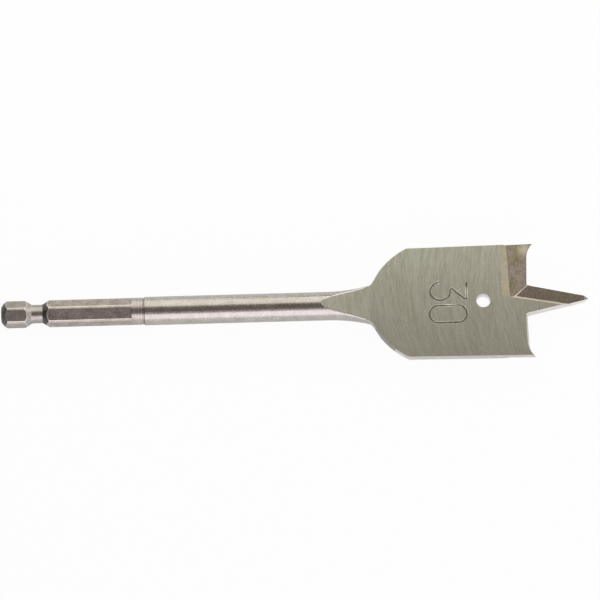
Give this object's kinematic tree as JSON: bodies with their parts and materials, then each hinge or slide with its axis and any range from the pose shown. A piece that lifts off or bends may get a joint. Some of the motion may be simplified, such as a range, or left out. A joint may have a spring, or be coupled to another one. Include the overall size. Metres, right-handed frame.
{
  "type": "spade drill bit",
  "caption": "Flat spade bit for boring wood: hex shank with snap-in groove, round shaft, flared flat blade with hollow-ground edges, corner spurs and a long centre point.",
  "frame": {"origin": "centre of the shank's flat end face, on the tool's axis", "axes": "+X along the tool's axis from the shank to the tip; +Y across the blade; +Z square to the blade's faces, up from the surface that the round shaft lies on"},
  "size_m": [0.1524, 0.03, 0.0074],
  "materials": {
    "ground_steel": "ground, satin, warm grey"
  },
  "bodies": {
    "root": {"spade_bit": "ground_steel"}
  },
  "joints": []
}
